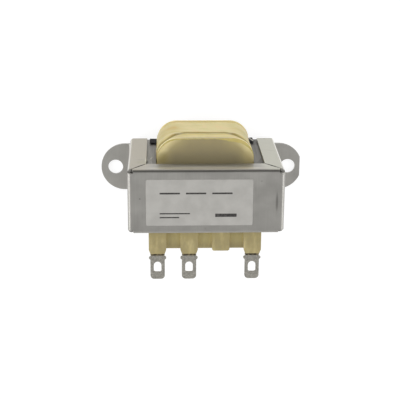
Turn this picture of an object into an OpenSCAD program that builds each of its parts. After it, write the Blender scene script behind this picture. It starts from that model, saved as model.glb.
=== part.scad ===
// Laminated chassis transformer: an interleaved E-I core in a folded channel bracket with two ears,
// and a two-section moulded bobbin whose solder lugs leave on one side.
// Millimetres. Z = 0 is the chassis face, +Z points away from the chassis, X runs through the two
// mounting holes, the lugs point to -Y, and the origin is midway between the mounting holes.

/* [Core] */
// Width of the centre leg of an E sheet
leg_w = 15.875; // [13.2:0.005:19.1]
// Width of each outer leg of an E sheet
side_leg_w = 7.9375; // [6.5:0.0025:9.6]
// Height of the yoke of an E sheet, and of an I sheet
yoke_h = 7.9375; // [6.6:0.0025:9.6]
// Width of each window
window_w = 7.9375; // [6.6:0.0025:9.6]
// Height of each window
window_h = 23.8125; // [19.8:0.0025:28.6]
// Thickness of one sheet
sheet_t = 0.635; // [0.52:0.005:0.77]
// Number of sheets in the stack, each an E and an I
sheet_count = 30; // [24:2:36]

/* [Bracket] */
// Thickness of the sheet steel
bracket_t = 1.0; // [0.8:0.05:1.2]
// Inside radius of the folds round the core
fold_r = 0.15; // [0.12:0.01:0.16]
// Inside radius of the fold between a leg and its ear
foot_fold_r = 0.6; // [0.5:0.05:0.8]
// Width of the lips along the legs
side_lip_w = 5.9; // [4.9:0.1:7.1]
// Width of the lips along the web
web_lip_w = 7.2; // [6:0.1:8.6]
// Gap of the mitred seam between two lips
seam_gap = 0.3; // [0.2:0.05:0.4]
// Diameter of the relief hole at a corner
relief_d = 1.3; // [1.0:0.05:1.6]
// Height above the chassis at which the side lips end
lip_start_z = 2.2; // [2:0.1:2.7]
// Length of an ear, from the outside of its leg to its round end
ear_len = 10.25; // [8.55:0.05:12.3]
// Step on each side where the flat of a leg narrows to its ear
ear_step = 1.175; // [0.9:0.025:1.4]
// Radius of the corners of an ear
ear_r = 8.25; // [6.8:0.05:9]
// Amount cut off the end of the right ear
ear_trim = 0.7; // [0.5:0.05:1]
// Distance from the outside of a leg to the middle of its mounting hole
hole_out = 5.3; // [4.4:0.05:6.3]
// Diameter of the mounting holes
hole_d = 5.15; // [4.2:0.05:6.2]
// Gap between the core and the bracket
core_fit = 0.05; // [0.05:0.01:0.07]

/* [Bobbin] */
// Wall of the tube round the centre leg
tube_wall = 0.8; // [0.65:0.05:1]
// Gap between the tube and the centre leg
tube_fit = 0.15; // [0.1:0.01:0.2]
// Thickness of the two end flanges
flange_t = 1.0; // [0.8:0.05:1.2]
// Thickness of the partition between the sections
partition_t = 0.8; // [0.65:0.05:1]
// Clear width of the section next to the label
front_section_w = 5.0; // [4.1:0.1:6]
// Gap between the flanges and the window, at the sides
flange_side_gap = 0.35; // [0.25:0.05:0.45]
// Gap between the flanges and the yokes
flange_end_gap = 0.1; // [0.08:0.01:0.14]
// Reach of the flanges past the stack, on the side with no lugs
flange_reach = 8.9; // [7.4:0.1:10.7]
// Radius of the flange corners
flange_corner_r = 6.6; // [5.5:0.1:7.9]

/* [Terminal rows] */
// Gap between the terminal plates and the side lips
plate_side_gap = 0.55; // [0.4:0.05:0.7]
// Reach of the terminal plates past the stack
plate_reach = 9.4; // [8.6:0.1:11.3]
// Gap between the terminal plates and the face of the stack
plate_gap = 0.15; // [0.1:0.01:0.2]
// Width of a boss
boss_w = 5.7; // [5.2:0.1:6.9]
// Gap between the bosses and the lip of the web
boss_lip_gap = 0.4; // [0.3:0.05:0.5]
// Length of a boss past the plate where it holds a lug
boss_nose = 1.4; // [1.1:0.1:1.7]
// Length of a boss past the plate where it is empty
empty_nose = 0.4; // [0.3:0.05:0.5]
// Width by which the nose of a boss tapers
nose_taper = 1.0; // [0.8:0.1:1.2]

/* [Lugs] */
// Width of a lug's blade
lug_w = 4.75; // [4:0.05:5.7]
// Thickness of a lug
lug_t = 0.5; // [0.4:0.02:0.6]
// Length of the blade from its shoulders to its tip
blade_len = 8.2; // [6.8:0.1:9.9]
// Radius of the corners at the tip
tip_r = 1.3; // [1:0.05:1.6]
// Width by which a shoulder stands out from the blade
shoulder_out = 0.475; // [0.35:0.025:0.6]
// Height of the shoulders
shoulder_h = 1.4; // [1.2:0.1:1.7]
// Width of the neck that the wire is wrapped on
neck_w = 3.3; // [2.75:0.05:3.9]
// Length of the neck that the wire leaves free
neck_spare = 0.1; // [0.08:0.01:0.12]
// Length of the tang inside the boss
tang_len = 5.0; // [4.2:0.1:6]
// Size of the chamfers at the inner end of the tang
tang_point = 0.7; // [0.5:0.05:0.9]
// Width of the solder eye
eye_w = 2.5; // [2.1:0.05:3]
// Length of the solder eye
eye_len = 3.6; // [3:0.1:4.3]
// Distance from the shoulders to the near end of the eye
eye_start = 2.1; // [1.8:0.05:2.5]
// Gap between a tang and its slot
slot_fit = 0.08; // [0.06:0.01:0.1]

/* [Windings] */
// Thickness of the tape round a section
tape_t = 0.4; // [0.3:0.02:0.5]
// Depth of the tape's surface below the edge of the flanges
tape_inset = 0.3; // [0.2:0.02:0.4]
// Radius of the corners of the taped sections
tape_corner_r = 6.3; // [5.3:0.1:7.5]
// Gap between a winding and what surrounds it
winding_gap = 0.05; // [0.04:0.01:0.07]
// Diameter of the wire ends wrapped on the necks
wire_d = 0.45; // [0.38:0.01:0.54]
// Number of turns wrapped on a neck
wire_turns = 2; // [1:1:2]

/* [Label and strip] */
// Width of the label
label_w = 33.9; // [28:0.1:36]
// Height of the label
label_h = 15.3; // [12.8:0.1:18]
// Thickness of the label
label_t = 0.1; // [0.08:0.01:0.12]
// Distance of the label's middle to the right of the centre
label_x = -2.15; // [-2.6:0.05:2.6]
// Distance of the label's middle above the centre
label_y = -0.15; // [-0.2:0.01:0.2]
// Gap between the ends of the insulating strip and the side lips
strip_side_gap = 0.85; // [0.7:0.05:1.1]
// Width of the insulating strip
strip_h = 6.1; // [5.1:0.1:6.6]
// Thickness of the insulating strip
strip_t = 0.8; // [0.65:0.05:0.95]

/* [Hidden] */
$fn = 48;
eps = 0.01;      // overlap of shapes that are joined

// Core
core_w = leg_w + 2*window_w + 2*side_leg_w;
core_h = window_h + 2*yoke_h;
stack = sheet_t*sheet_count;
e_nodes = 4;     // nodes that the E sheets of one side are shared between
e_node_sheets = ceil(sheet_count/2/e_nodes);
window_mid_z = yoke_h + window_h/2;

// Bracket: outer faces
half_w = core_w/2 + core_fit + bracket_t;
half_d = stack/2 + core_fit + bracket_t;
web_z = core_h + core_fit + bracket_t;
fold_out_r = fold_r + bracket_t;
flat_w = half_w - fold_out_r;
flat_d = half_d - fold_out_r;
flat_z = web_z - fold_out_r;
lip_inner_x = half_w - side_lip_w;
lip_inner_z = web_z - web_lip_w;
ear_half_w = flat_d - ear_step;
ear_end_x = half_w + ear_len;

// Bobbin: the tube's passage and its outside, and the flanges' faces
passage_x = leg_w/2 + tube_fit;
passage_y = stack/2 + tube_fit;
tube_x = passage_x + tube_wall;
tube_y = passage_y + tube_wall;
flange_x = leg_w/2 + window_w - flange_side_gap;
flange_y = stack/2 + flange_reach;
rear_face_z = yoke_h + flange_end_gap;
front_face_z = yoke_h + window_h - flange_end_gap;
front_section_top = front_face_z - flange_t;
front_section_low = front_section_top - front_section_w;
rear_section_top = front_section_low - partition_t;
rear_section_low = rear_face_z + flange_t;

// Terminal rows, drawn for the row next to the label
plate_near_y = stack/2 + plate_gap;
plate_far_y = stack/2 + plate_reach;
plate_x = lip_inner_x - plate_side_gap;
boss_h = lip_inner_z - boss_lip_gap - front_section_top;
boss_pitch = (2*plate_x - boss_w)/3;
lug_z = front_section_top + boss_h/2;
mouth_y = plate_far_y + boss_nose;
wrap_start_y = mouth_y + slot_fit/2;
neck_len = slot_fit/2 + wire_turns*wire_d + neck_spare;
lug_positions = [1, 2, 4];

// Insulating strip: half length
strip_x = lip_inner_x - strip_side_gap;

// Coil sections
tape_x = flange_x - tape_inset;
tape_y = flange_y - tape_inset;

function boss_x(position) = (position - 2.5)*boss_pitch;

steel = [0.66, 0.66, 0.65];
sheet_steel = [0.50, 0.50, 0.51];
nylon = [0.80, 0.75, 0.55];
copper = [0.72, 0.40, 0.22];
tape_yellow = [0.88, 0.82, 0.56];
tape_cream = [0.90, 0.86, 0.68];
tinned_brass = [0.68, 0.67, 0.64];
fibre_black = [0.05, 0.05, 0.05];
label_grey = [0.80, 0.79, 0.78];

// ---- Shared shapes ----

// Mirrored copies on both sides of the X = 0 plane
module both_x() {
    children();
    mirror([1, 0, 0]) children();
}

// Mirrored copies on both sides of the Y = 0 plane
module both_y() {
    children();
    mirror([0, 1, 0]) children();
}

// Extrusion along Y, centred, of an outline drawn with X to the right and Z up
module slab_y(depth) {
    rotate([90, 0, 0]) linear_extrude(depth, center = true) children();
}

// Rectangle of half sizes x and y with round corners
module round_block(x, y, r) {
    square([2*(x - r), 2*y], center = true);
    square([2*x, 2*(y - r)], center = true);
    for (sx = [-1, 1], sy = [-1, 1]) translate([sx*(x - r), sy*(y - r)]) circle(r);
}

// ---- Core ----

// E outline with its yoke at the bottom
module e_outline() {
    difference() {
        translate([-core_w/2, 0]) square([core_w, yoke_h + window_h]);
        for (s = [-1, 1])
            translate([s*(leg_w + window_w)/2 - window_w/2, yoke_h]) square([window_w, window_h + 1]);
    }
}

// Every second sheet of the stack, counted from sheet number first: a run of them that begins at start
module every_second(first, start = 0, run = sheet_count/2) {
    for (k = [start : min(start + run, sheet_count/2) - 1])
        translate([0, -stack/2 + (first + 2*k + 0.5)*sheet_t, 0]) children();
}

module e_sheet() {
    slab_y(sheet_t) e_outline();
}

module i_sheet() {
    translate([-core_w/2, -sheet_t/2, 0]) cube([core_w, sheet_t, yoke_h]);
}

// Turns a sheet end for end inside the core
module turned() {
    translate([0, 0, core_h]) mirror([0, 0, 1]) children();
}

module e_sheets_chassis_side(group) {
    color(sheet_steel) every_second(0, (group - 1)*e_node_sheets, e_node_sheets) e_sheet();
}

module i_sheets_label_side() {
    color(sheet_steel) every_second(0) turned() i_sheet();
}

module e_sheets_label_side(group) {
    color(sheet_steel) every_second(1, (group - 1)*e_node_sheets, e_node_sheets) turned() e_sheet();
}

module i_sheets_chassis_side() {
    color(sheet_steel) every_second(1) i_sheet();
}

// ---- Bracket ----

// Quarter ring of sheet, inside radius r, in the first quadrant
module fold_section(r) {
    intersection() {
        difference() {
            circle(r + bracket_t);
            circle(r);
        }
        square(r + bracket_t + 1);
    }
}

// Right half of the web and leg, seen along Y
module channel_section() {
    translate([0, web_z - bracket_t]) square([flat_w + eps, bracket_t]);
    translate([flat_w, flat_z]) fold_section(fold_r);
    translate([half_w - bracket_t, lip_start_z]) square([bracket_t, flat_z - lip_start_z + eps]);
}

// Right half of the foot: the end of the leg, its fold and the start of the ear
module foot_section() {
    fold_z = bracket_t + foot_fold_r;
    translate([half_w - bracket_t, fold_z]) square([bracket_t, lip_start_z - fold_z + eps]);
    translate([half_w + foot_fold_r, fold_z]) rotate(180) fold_section(foot_fold_r);
}

// Ear, seen from above, with its round end
module ear_outline() {
    r = min(ear_r, ear_half_w);
    start_x = half_w + foot_fold_r - eps;
    difference() {
        intersection() {
            union() {
                translate([start_x, -ear_half_w]) square([ear_end_x - r - start_x, 2*ear_half_w]);
                translate([start_x, -(ear_half_w - r)])
                    square([ear_end_x - start_x, 2*(ear_half_w - r) + eps]);
                for (s = [-1, 1]) translate([ear_end_x - r, s*(ear_half_w - r)]) circle(r, $fn = 96);
            }
            translate([start_x, -ear_half_w]) square([ear_len, 2*ear_half_w]);
        }
        translate([half_w + hole_out, 0]) circle(d = hole_d);
    }
}

// Lips of one face of the stack, with their mitred seams, seen along Y
module lip_outline() {
    seam = [side_lip_w, web_lip_w];
    difference() {
        translate([-flat_w, lip_start_z]) square([2*flat_w, flat_z - lip_start_z]);
        translate([-lip_inner_x, lip_start_z - 1]) square([2*lip_inner_x, lip_inner_z - lip_start_z + 1]);
        for (s = [-1, 1]) {
            translate([s*half_w, web_z]) rotate(atan2(-seam.y, -s*seam.x))
                translate([0, -seam_gap/2]) square([norm(seam) + 1, seam_gap]);
            translate([s*flat_w, flat_z]) circle(d = relief_d);
        }
    }
}

// Folds that carry the lips of one face, along the web and along both legs
module lip_folds() {
    translate([0, flat_d, flat_z]) rotate([90, 0, 90]) linear_extrude(2*(flat_w - relief_d/2), center = true)
        fold_section(fold_r);
    both_x() translate([flat_w, flat_d, lip_start_z]) linear_extrude(flat_z - relief_d/2 - lip_start_z)
        fold_section(fold_r);
}

module channel_bracket() {
    color(steel) {
        both_x() {
            slab_y(2*flat_d + 2*eps) channel_section();
            slab_y(2*ear_half_w) foot_section();
        }
        linear_extrude(bracket_t) {
            difference() {
                ear_outline();
                translate([ear_end_x - ear_trim, -ear_half_w]) square([ear_trim + 1, 2*ear_half_w]);
            }
            mirror([1, 0]) ear_outline();
        }
        both_y() {
            translate([0, half_d - bracket_t/2, 0]) slab_y(bracket_t) lip_outline();
            lip_folds();
        }
    }
}

// ---- Bobbin ----

// Shows its children for the row next to the label, or turned over for the row next to the chassis
module in_row(row) {
    if (row == "front") children();
    else translate([0, 0, 2*window_mid_z]) mirror([0, 0, 1]) children();
}

// Flange or partition outline, round-cornered on the side with no lugs
module flange_outline() {
    r = flange_corner_r;
    low_y = plate_near_y + eps;
    translate([-flange_x, -low_y]) square([2*flange_x, low_y + flange_y - r]);
    translate([-(flange_x - r), 0]) square([2*(flange_x - r), flange_y]);
    for (s = [-1, 1]) translate([s*(flange_x - r), flange_y - r]) circle(r);
}

// Boss outline at its position, with a tapered nose past the plate
module boss_outline(position) {
    nose = (len(search(position, lug_positions)) > 0) ? boss_nose : empty_nose;
    w = boss_w/2;
    translate([boss_x(position), 0]) polygon([
        [-w, -plate_near_y], [w, -plate_near_y], [w, -plate_far_y],
        [w - nose_taper/2, -plate_far_y - nose], [-w + nose_taper/2, -plate_far_y - nose],
        [-w, -plate_far_y]]);
}

// Plate and bosses of one terminal row, with the slots for the lugs
module terminal_row() {
    slot_w = neck_w + 2*slot_fit;
    slot_t = lug_t + 2*slot_fit;
    difference() {
        translate([0, 0, front_section_top]) {
            linear_extrude(flange_t)
                translate([-plate_x, -plate_far_y]) square([2*plate_x, plate_far_y - plate_near_y]);
            linear_extrude(boss_h) for (position = [1 : 4]) boss_outline(position);
        }
        for (position = [1 : 4])
            translate([boss_x(position) - slot_w/2, -mouth_y - 1, lug_z - slot_t/2])
                cube([slot_w, 1 + boss_nose + tang_len + slot_fit, slot_t]);
    }
}

module bobbin() {
    color(nylon) {
        difference() {
            union() {
                translate([0, 0, rear_face_z]) linear_extrude(front_face_z - rear_face_z)
                    square([2*tube_x, 2*tube_y], center = true);
                translate([0, 0, front_section_top]) linear_extrude(flange_t) flange_outline();
                translate([0, 0, rear_face_z]) linear_extrude(flange_t) flange_outline();
                translate([0, 0, rear_section_top]) linear_extrude(partition_t)
                    round_block(tape_x, tape_y, tape_corner_r);
            }
            translate([-passage_x, -passage_y, 0]) cube([2*passage_x, 2*passage_y, core_h]);
        }
        for (row = ["front", "rear"]) in_row(row) terminal_row();
    }
}

// ---- Windings and tape ----

// Ring round the tube between two heights: half sizes outside and the outline of its hole
module coil_ring(low_z, high_z, x, y, r) {
    translate([0, 0, low_z]) linear_extrude(high_z - low_z) difference() {
        round_block(x, y, r);
        children();
    }
}

module section_winding(low_z, high_z) {
    skin = tape_t + winding_gap;
    color(copper)
        coil_ring(low_z + winding_gap, high_z - winding_gap, tape_x - skin, tape_y - skin,
                  tape_corner_r - skin)
            square([2*(tube_x + winding_gap), 2*(tube_y + winding_gap)], center = true);
}

module section_tape(low_z, high_z) {
    coil_ring(low_z + winding_gap, high_z - winding_gap, tape_x, tape_y, tape_corner_r)
        round_block(tape_x - tape_t, tape_y - tape_t, tape_corner_r - tape_t);
}

module front_winding() {
    section_winding(front_section_low, front_section_top);
}

module rear_winding() {
    section_winding(rear_section_low, rear_section_top);
}

module front_tape() {
    color(tape_cream) section_tape(front_section_low, front_section_top);
}

module rear_tape() {
    color(tape_yellow) section_tape(rear_section_low, rear_section_top);
}

// ---- Lugs and leads ----

// Lug outline: +Y runs from the shoulders to the tip
module lug_outline() {
    tang_y = -neck_len - tang_len;
    root = lug_w/2 - shoulder_out/2;
    wing = lug_w/2 + shoulder_out;
    difference() {
        union() {
            polygon([[-root, 0], [root, 0], [wing, shoulder_h*0.4], [wing, shoulder_h*0.7],
                     [lug_w/2, shoulder_h], [-lug_w/2, shoulder_h],
                     [-wing, shoulder_h*0.7], [-wing, shoulder_h*0.4]]);
            translate([-lug_w/2, shoulder_h/2]) square([lug_w, blade_len - tip_r - shoulder_h/2]);
            translate([-lug_w/2 + tip_r, shoulder_h/2]) square([lug_w - 2*tip_r, blade_len - shoulder_h/2]);
            for (s = [-1, 1]) translate([s*(lug_w/2 - tip_r), blade_len - tip_r]) circle(tip_r);
            polygon([[-neck_w/2, eps], [-neck_w/2, tang_y + tang_point], [-neck_w/2 + tang_point, tang_y],
                     [neck_w/2 - tang_point, tang_y], [neck_w/2, tang_y + tang_point], [neck_w/2, eps]]);
        }
        translate([0, eye_start + eye_w/2]) circle(eye_w/2);
        translate([-eye_w/2, eye_start + eye_w/2]) square([eye_w, eye_len - eye_w*3/4]);
        translate([-eye_w/4, eye_start + eye_w/2]) square([eye_w/2, eye_len - eye_w/2]);
        for (s = [-1, 1]) translate([s*eye_w/4, eye_start + eye_len - eye_w/4]) circle(eye_w/4);
    }
}

module lug(row, position) {
    color(tinned_brass) in_row(row) translate([boss_x(position), -mouth_y - neck_len, lug_z])
        rotate(180) linear_extrude(lug_t, center = true) lug_outline();
}

// One turn of wire round a neck, in the XZ plane
module neck_turn() {
    r = lug_t/2 + slot_fit/2 + wire_d/2;
    rotate([90, 0, 0]) {
        for (s = [0, 180]) rotate(s) translate([neck_w/2, 0, 0]) rotate(-90)
            rotate_extrude(angle = 180, $fn = 24) translate([r, 0]) circle(wire_d/2, $fn = 16);
        for (s = [-1, 1]) translate([0, s*r, 0]) rotate([0, 90, 0])
            cylinder(d = wire_d, h = neck_w, center = true, $fn = 16);
    }
}

// Wire end of one winding: turns on the neck, then under the boss to the section
module lead(row, position) {
    wrap_y = -wrap_start_y - wire_d/2;
    turn_z = lug_z - lug_t/2 - slot_fit/2 - wire_d/2;
    run_z = front_section_top - slot_fit - wire_d/2;
    color(copper) in_row(row) translate([boss_x(position), 0, 0]) {
        for (turn = [0 : wire_turns - 1])
            translate([0, wrap_y - turn*(wire_d - eps), lug_z]) neck_turn();
        translate([0, wrap_y, run_z]) cylinder(d = wire_d, h = turn_z - run_z, $fn = 16);
        translate([0, wrap_y, run_z]) sphere(d = wire_d, $fn = 16);
        translate([0, wrap_y, run_z]) rotate([-90, 0, 0])
            cylinder(d = wire_d, h = -wrap_y - tape_y, $fn = 16);
    }
}

// ---- Label and strip ----

module insulating_strip() {
    color(fibre_black) translate([-strip_x, stack/2, yoke_h - strip_h]) cube([2*strip_x, strip_t, strip_h]);
}

module label() {
    color(label_grey) translate([label_x - label_w/2, label_y - label_h/2, web_z])
        cube([label_w, label_h, label_t]);
}

channel_bracket();
e_sheets_label_side(1);  // e_sheets_label_side_1
e_sheets_label_side(2);  // e_sheets_label_side_2
e_sheets_label_side(3);  // e_sheets_label_side_3
e_sheets_label_side(4);  // e_sheets_label_side_4
i_sheets_chassis_side();
e_sheets_chassis_side(1);  // e_sheets_chassis_side_1
e_sheets_chassis_side(2);  // e_sheets_chassis_side_2
e_sheets_chassis_side(3);  // e_sheets_chassis_side_3
e_sheets_chassis_side(4);  // e_sheets_chassis_side_4
i_sheets_label_side();
bobbin();
front_winding();
rear_winding();
front_tape();
rear_tape();
lug("front", 1);  // front_lug_1
lug("front", 2);  // front_lug_2
lug("front", 4);  // front_lug_4
lug("rear", 1);  // rear_lug_1
lug("rear", 2);  // rear_lug_2
lead("front", 1);  // front_lead_1
lead("front", 2);  // front_lead_2
lead("front", 4);  // front_lead_4
lead("rear", 1);  // rear_lead_1
lead("rear", 2);  // rear_lead_2
insulating_strip();
label();
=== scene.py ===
"""Looks of a laminated chassis transformer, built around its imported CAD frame.

Lengths in the size fields are millimetres, and all that is handed to Blender is in metres, in the row frame:
+Z points away from the chassis, X runs through the mounting holes and the lugs point to -Y.
"""

from __future__ import annotations

import logging
import math
from dataclasses import dataclass, field
from enum import Enum
from typing import Any, Optional, Sequence

import bmesh
import bpy
from mathutils import Matrix, Vector, noise

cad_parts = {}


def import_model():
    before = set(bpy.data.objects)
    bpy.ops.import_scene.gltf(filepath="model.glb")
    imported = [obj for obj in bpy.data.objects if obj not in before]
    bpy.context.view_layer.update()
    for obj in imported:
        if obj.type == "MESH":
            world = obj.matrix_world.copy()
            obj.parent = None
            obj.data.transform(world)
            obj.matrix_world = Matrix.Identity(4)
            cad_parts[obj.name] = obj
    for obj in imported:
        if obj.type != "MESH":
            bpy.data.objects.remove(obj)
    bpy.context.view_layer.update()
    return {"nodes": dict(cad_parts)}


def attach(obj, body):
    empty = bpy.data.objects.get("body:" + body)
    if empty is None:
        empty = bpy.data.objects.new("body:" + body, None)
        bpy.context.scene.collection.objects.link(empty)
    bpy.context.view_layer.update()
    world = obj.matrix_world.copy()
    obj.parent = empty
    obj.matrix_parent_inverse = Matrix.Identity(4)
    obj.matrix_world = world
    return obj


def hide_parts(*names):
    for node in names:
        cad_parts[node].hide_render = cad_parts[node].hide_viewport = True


LOG = logging.getLogger("transformer")
MM = 0.001
SHARP = math.radians(40)  # an edge that turns further stays hard
RUN = "run"  # attribute: distance round the coil, height, and the depth that sets the groove's painted shade, in metres

# sockets of a Mix node that share their names; MIXED is its colour output
FACTOR, FLOAT_A, FLOAT_B, COLOUR_A, COLOUR_B, MIXED = 0, 2, 3, 6, 7, 2

Point = tuple[float, float]
Triple = tuple[float, float, float]
Face = tuple[int, ...]
Tree = bpy.types.NodeTree
Node = bpy.types.Node
Socket = bpy.types.NodeSocket
Piece = bpy.types.Object
Materials = dict[str, bpy.types.Material]
Painted = tuple[dict[str, Socket], Socket]  # what feeds the shader, and the height that drives the bump


class Grain(Enum):
    """Axis that a rolled or drawn surface's lines run along."""

    ALONG_X = "x"
    ALONG_Y = "y"
    ALONG_Z = "z"


# ---- Colour and nodes ----


def linear(code: str) -> tuple[float, float, float, float]:
    """Turns an sRGB hex value into a linear colour.

    Args:
        code: six hex digits, with or without a leading hash.

    Returns:
        Red, green, blue and an alpha of 1.
    """
    digits = code.lstrip("#")
    shares = [int(digits[i : i + 2], 16) / 255 for i in (0, 2, 4)]
    red, green, blue = [c / 12.92 if c <= 0.04045 else ((c + 0.055) / 1.055) ** 2.4 for c in shares]
    return red, green, blue, 1.0


def add_node(
    tree: Tree,
    kind: str,
    feeds: Optional[dict[Any, Any]] = None,
    stops: Sequence[tuple[float, str]] = (),
    ends: Sequence[float] = (),
    **settings: Any,
) -> Node:
    """Adds a shader node with its settings and feeds its inputs.

    Args:
        tree: the node tree.
        kind: the node's Blender type name, after ShaderNode.
        feeds: input name or number to a socket that is linked, or to a value that is set.
        stops: places and sRGB hex values of a ramp's colours, in order.
        ends: lowest and highest value that a Map Range takes, and the two that it makes of them.
        settings: properties of the node.

    Returns:
        The new node.
    """
    node = tree.nodes.new("ShaderNode" + kind)
    if stops:
        elements = node.color_ramp.elements
        while len(elements) < len(stops):
            elements.new(0.5)
        for element, (place, code) in zip(elements, stops):
            element.position, element.color = place, linear(code)
    for name, value in settings.items():
        setattr(node, name, value)
    limits = dict(enumerate(ends, 1))  # a Map Range's inputs 1 to 4
    for key, value in {**limits, **(feeds or {})}.items():
        if isinstance(value, Socket):
            tree.links.new(value, node.inputs[key])
        else:
            node.inputs[key].default_value = value
    return node


def stretched(tree: Tree, place: Socket, across_mm: float, along_mm: float, grain: Grain) -> Socket:
    """Noise drawn out along one axis, as rolling or brushing leaves it.

    Args:
        tree: the node tree.
        place: coordinates, in metres.
        across_mm: width of a line.
        along_mm: length of a line.
        grain: axis of the lines.

    Returns:
        The noise value.
    """
    across, along = 1 / (across_mm * MM), 1 / (along_mm * MM)
    scale = [along if axis == grain.value else across for axis in "xyz"]
    mapped = add_node(tree, "Mapping", {"Vector": place, "Scale": scale}).outputs[0]
    feeds = {"Vector": mapped, "Scale": 1.0, "Detail": 3.0, "Roughness": 0.55}
    return add_node(tree, "TexNoise", feeds).outputs[0]


def covered(
    tree: Tree, colour: Socket, shade: str, value: Socket, spread: Point, shares: Point, **settings: Any
) -> Socket:
    """Lays a shade over a colour, as much as a value says.

    Args:
        tree: the node tree.
        colour: what it covers.
        shade: its sRGB hex value.
        value: what decides how much it covers.
        spread: the value at both ends of the fade.
        shares: how much it covers at these ends.
        settings: properties of the fade's node.

    Returns:
        The colour with the shade over it.
    """
    cover = add_node(tree, "MapRange", {"Value": value}, ends=spread + shares, **settings).outputs[0]
    feeds = {FACTOR: cover, COLOUR_A: colour, COLOUR_B: linear(shade)}
    return add_node(tree, "Mix", feeds, data_type="RGBA").outputs[MIXED]


# ---- Finishes ----


@dataclass(frozen=True)
class Mark:
    """A stain, a rub, a dark seam, a painted highlight or painted shade: an ellipsoid of one shade that fades
    at its edge.

    Its middle, half sizes and turn are in the row frame, core is the share of its size before it fades, and
    cover is how much of the finish it hides there.
    """

    middle_mm: Triple
    half_mm: Triple
    shade: str
    cover: float = 0.6
    core: float = 0.4
    turn: Triple = (0.0, 0.0, 0.0)


@dataclass(frozen=True)
class Finish:
    """Base of every finish: a Principled shader whose numbers start from the real material's.

    edge_mm is the radius that its edges show, relief_mm the depth of its bump, and sockets are further values
    of the shader's own sockets.
    """

    name: str
    metallic: float = 0.0
    roughness: float = 0.5
    edge_mm: float = 0.12
    relief_mm: float = 0.01
    sockets: tuple[tuple[str, Any], ...] = ()
    marks: tuple[Mark, ...] = ()

    def marked(self, tree: Tree, place: Socket, colour: Socket) -> Socket:
        """Lays the finish's marks over its colour.

        Args:
            tree: the node tree.
            place: object coordinates, in metres.
            colour: the colour without marks.

        Returns:
            The colour with them.
        """
        for mark in self.marks:
            middle, half = ([c * MM for c in sizes] for sizes in (mark.middle_mm, mark.half_mm))
            box = {"Vector": place, "Location": middle, "Rotation": mark.turn, "Scale": half}
            inside = add_node(tree, "Mapping", box, vector_type="TEXTURE").outputs[0]
            away = add_node(tree, "VectorMath", {0: inside}, operation="LENGTH").outputs["Value"]
            spread, shares = (mark.core, 1.0), (mark.cover, 0.0)
            eased = {"interpolation_type": "SMOOTHSTEP"}
            colour = covered(tree, colour, mark.shade, away, spread, shares, **eased)
        return colour

    def paint(self, tree: Tree, place: Socket) -> Painted:
        """Builds the colour, and whatever else varies over the surface."""
        raise NotImplementedError

    def build(self) -> bpy.types.Material:
        """Makes the Blender material.

        Returns:
            The new material.
        """
        material = bpy.data.materials.new(self.name)
        material.use_nodes = True
        tree = material.node_tree
        tree.nodes.clear()
        painted, height = self.paint(tree, add_node(tree, "TexCoord").outputs["Object"])
        rounded = add_node(tree, "Bevel", {"Radius": self.edge_mm * MM}, samples=4).outputs[0]
        feeds = {"Strength": 1.0, "Distance": self.relief_mm * MM, "Height": height, "Normal": rounded}
        bump = add_node(tree, "Bump", feeds).outputs[0]
        feeds = {"Metallic": self.metallic, "Roughness": self.roughness, "Normal": bump}
        shader = add_node(tree, "BsdfPrincipled", {**feeds, **dict(self.sockets), **painted})
        add_node(tree, "OutputMaterial", {"Surface": shader.outputs[0]}, is_active_output=True)
        return material


@dataclass(frozen=True)
class ZincPlatedSteel(Finish):
    """Cold-rolled strip, pressed and zinc plated: satin grey metal with rolling lines, handling marks, and
    painted highlights, reflections and shade among its marks.
    """

    metallic: float = 0.68
    roughness: float = 0.44
    relief_mm: float = 0.004  # rolling lines are a few micrometres deep
    line_mm: Point = (0.35, 14.0)  # real lines are finer; these are as coarse as they need to be to show
    cloud_mm: float = 7.0
    cloud_share: float = 0.75  # the lines have the rest of the shade
    scuff_mm: float = 4.5  # from one scuff to the next
    pale: str = "#B0AEA9"
    dull: str = "#9C9A95"
    scuff: str = "#8B8985"

    def paint(self, tree: Tree, place: Socket) -> Painted:
        """Draws rolling lines, clouds and small scuffs, and a roughness that follows the clouds.

        Args:
            tree: the node tree.
            place: object coordinates, in metres.

        Returns:
            The shader's feeds, and the rolling lines as height.
        """
        lines = stretched(tree, place, *self.line_mm, Grain.ALONG_Y)
        feeds = {"Vector": place, "Scale": 1 / (self.cloud_mm * MM), "Detail": 4.0}
        clouds = add_node(tree, "TexNoise", feeds).outputs[0]
        both = add_node(tree, "Mix", {FACTOR: self.cloud_share, FLOAT_A: lines, FLOAT_B: clouds}).outputs[0]
        stops = [(0.30, self.dull), (0.70, self.pale)]
        base = add_node(tree, "ValToRGB", {0: both}, stops).outputs[0]
        feeds = {"Vector": place, "Scale": 1 / (self.scuff_mm * MM)}
        away = add_node(tree, "TexVoronoi", feeds).outputs["Distance"]
        scuffed = covered(tree, base, self.scuff, away, (0.03, 0.09), (0.55, 0.0))
        smoothest, roughest = self.roughness - 0.05, self.roughness + 0.07
        rough = add_node(tree, "MapRange", {"Value": clouds}, ends=(0.3, 0.7, smoothest, roughest)).outputs[0]
        return {"Base Color": self.marked(tree, place, scuffed), "Roughness": rough}, lines


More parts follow.
